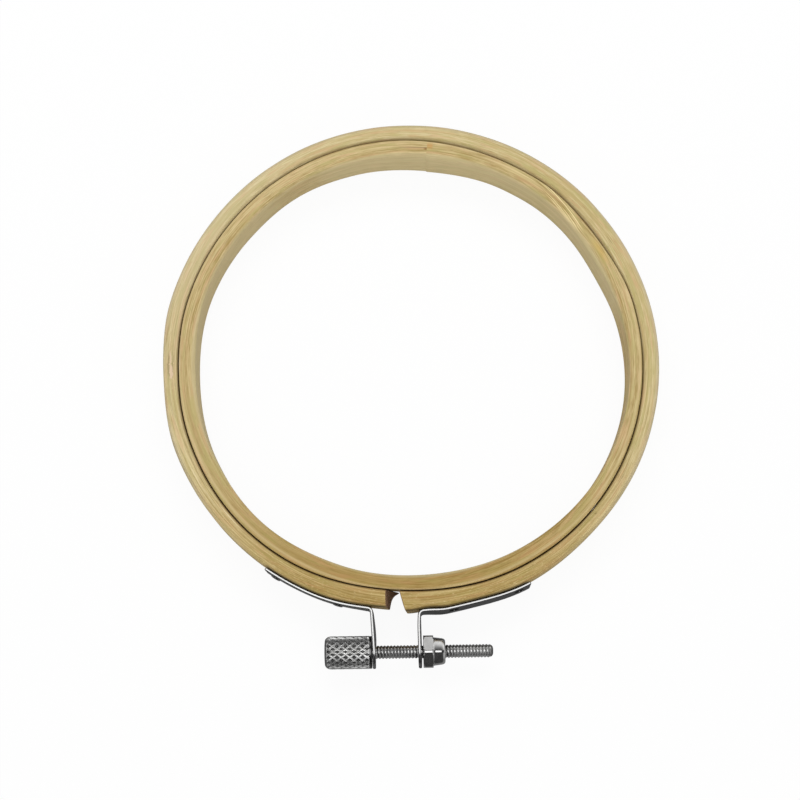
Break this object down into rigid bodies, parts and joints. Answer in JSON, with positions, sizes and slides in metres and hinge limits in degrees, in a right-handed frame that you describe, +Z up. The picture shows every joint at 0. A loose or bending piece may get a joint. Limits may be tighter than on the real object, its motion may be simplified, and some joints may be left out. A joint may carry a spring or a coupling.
{
  "type": "embroidery hoop",
  "caption": "Round bamboo hoop that clamps cloth between an inner ring and a split outer ring drawn shut by a knurled screw.",
  "frame": {"origin": "on the rest plane, under the middle of the whole hoop; the rings share an upright axis 5.94 mm behind it, because the clamp stands out in front", "axes": "+Z up, along the rings' axis; the clamp stands out towards -Y; the screw lies along X with its knob towards -X"},
  "size_m": [0.1094, 0.1212, 0.01],
  "materials": {
    "inner_ring": "satin",
    "outer_ring": "satin",
    "bracket": "polished",
    "brad": "satin",
    "knob": "satin",
    "rod": "satin",
    "nut": "polished"
  },
  "bodies": {
    "outer_frame": {"outer_ring": "outer_ring", "left_bracket": "bracket", "left_brad_1": "brad", "left_brad_2": "brad"},
    "clamp_end": {"right_bracket": "bracket", "right_brad_1": "brad", "right_brad_2": "brad", "lock_nut": "nut"},
    "thumb_screw": {"knurled_knob": "knob", "threaded_rod": "rod"},
    "inner_hoop": {"inner_ring": "inner_ring"}
  },
  "joints": [
    {"name": "screw_turn", "type": "hinge", "parent": "outer_frame", "child": "thumb_screw", "pos_m": [0, -0.05706, 0.005], "axis": [-1, 0, 0], "range_deg": [0, 3600]},
    {"name": "ring_opening", "type": "hinge", "parent": "outer_frame", "child": "clamp_end", "pos_m": [0.00405, 0.05858, 0.005], "axis": [0, 0, 1], "range_deg": [0, 3.5], "deforming": ["outer_ring"]},
    {"name": "inner_ring_lift", "type": "slide", "parent": "outer_frame", "child": "inner_hoop", "axis": [0, 0, 1], "range_m": [0, 0.015]}
  ],
  "couplings": [
    {"joint": "ring_opening", "follows": "screw_turn", "ratio": 0.00096337}
  ]
}
